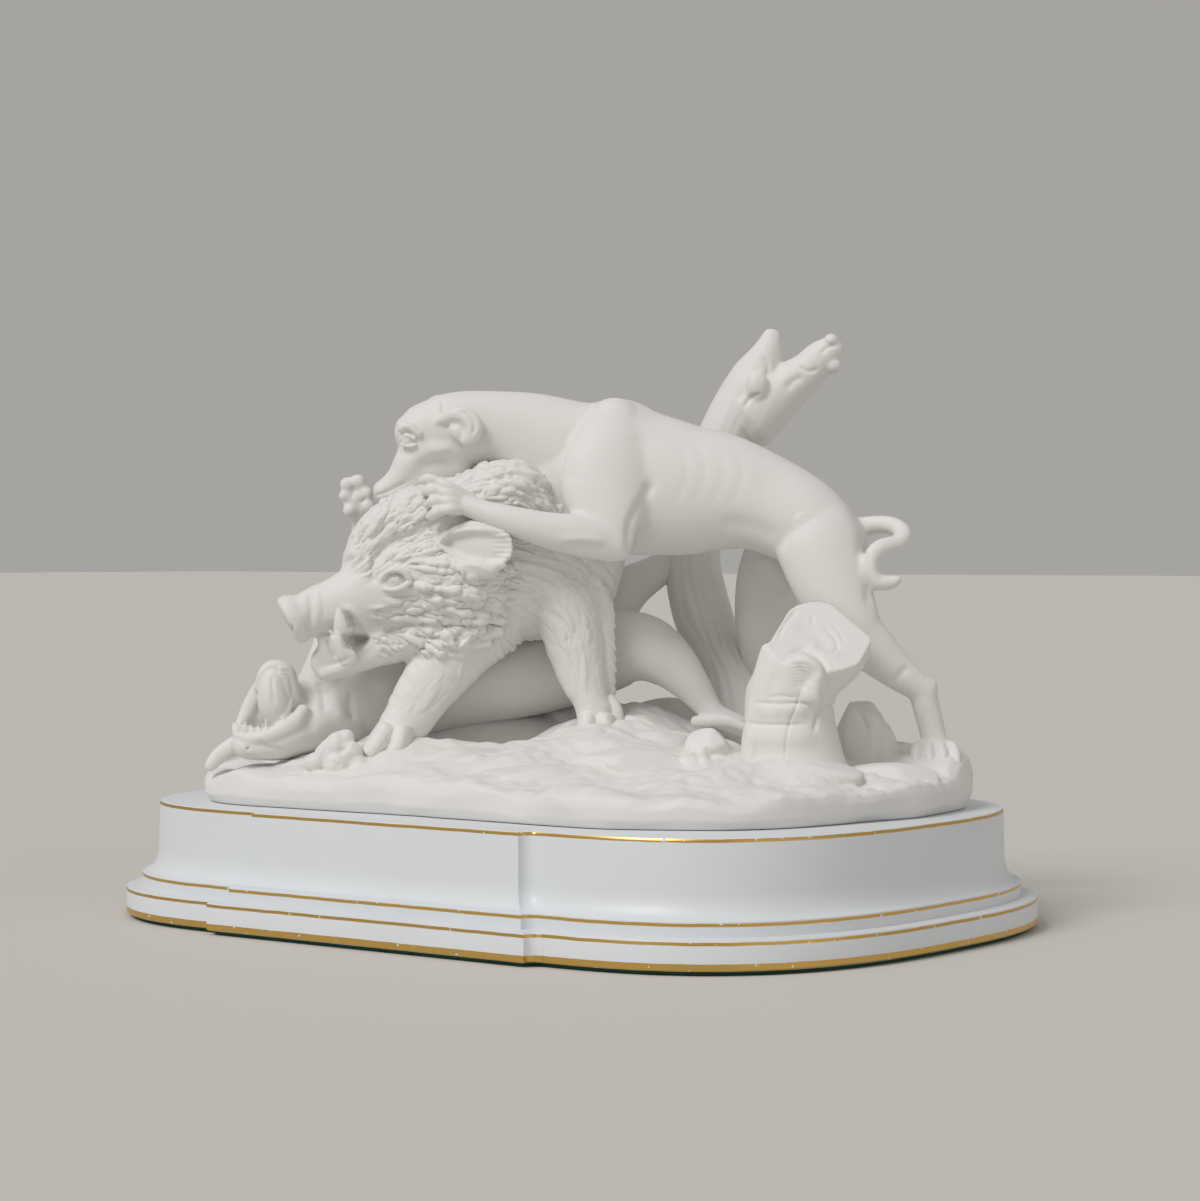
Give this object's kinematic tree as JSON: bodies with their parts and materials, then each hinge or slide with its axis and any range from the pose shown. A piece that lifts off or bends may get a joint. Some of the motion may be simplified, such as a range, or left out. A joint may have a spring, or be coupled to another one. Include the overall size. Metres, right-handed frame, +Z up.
{
  "type": "porcelain hunt centerpiece",
  "caption": "White unglazed porcelain boar and hounds fighting on rocky ground by a tree and a stump, set on a white shaped plinth with thin gilt lines.",
  "frame": {"origin": "middle of the underside of the felt pad, on the table", "axes": "+X along the plinth's long side, +Y to the plinth's back, +Z up"},
  "size_m": [0.5806, 0.4252, 0.3908],
  "materials": {
    "porcelain": "matte",
    "white_paint": "satin",
    "baize": "matte"
  },
  "bodies": {
    "root": {"porcelain_group": "porcelain", "plinth": "white_paint", "baize_pad": "baize"}
  },
  "joints": []
}
